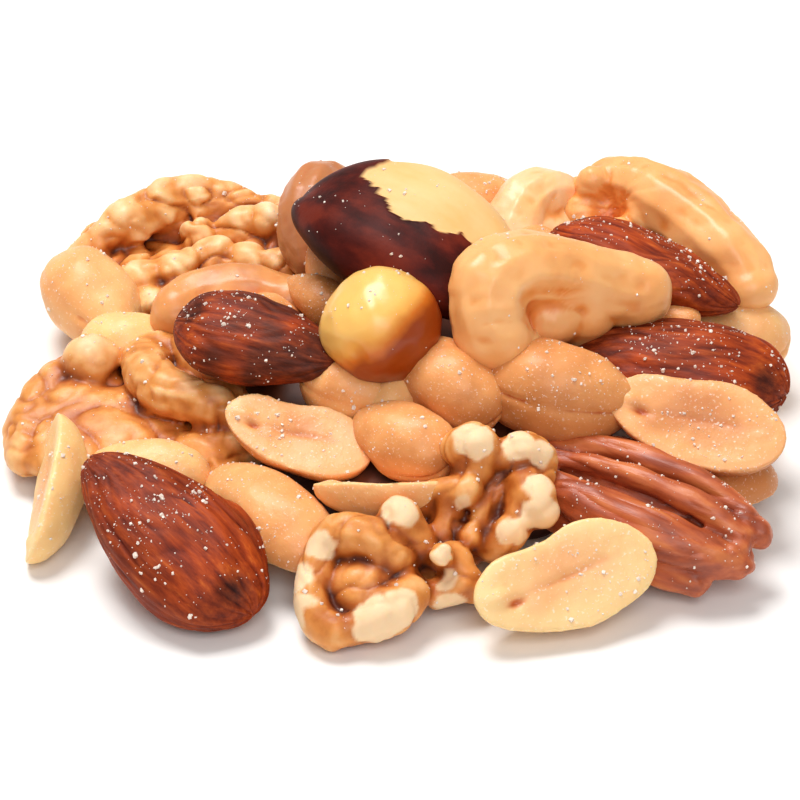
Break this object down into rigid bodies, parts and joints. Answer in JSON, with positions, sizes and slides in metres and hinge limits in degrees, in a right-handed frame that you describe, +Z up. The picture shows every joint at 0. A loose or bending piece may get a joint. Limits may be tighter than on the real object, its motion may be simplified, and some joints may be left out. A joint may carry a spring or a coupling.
{
  "type": "heap of mixed nuts",
  "caption": "Loose heap of shelled mixed nuts lying on a flat surface: almonds, peanuts, cashews, walnuts, pecan and Brazil nut, salted and roasted, to rest on a table.",
  "frame": {"origin": "middle of the bounding box at the level the heap stands on", "axes": "+X to the right along the heap's longest side, +Y to its back, +Z up"},
  "size_m": [0.0876, 0.0781, 0.0299],
  "materials": {
    "mixed_nuts": "satin",
    "almond_skin": "satin",
    "peanut": "satin",
    "cashew": "satin",
    "walnut": "satin",
    "pecan": "satin",
    "brazil_nut": "satin",
    "round_nut": "gloss",
    "salt": "matte"
  },
  "bodies": {
    "root": {"nut_heap": "mixed_nuts"}
  },
  "joints": []
}
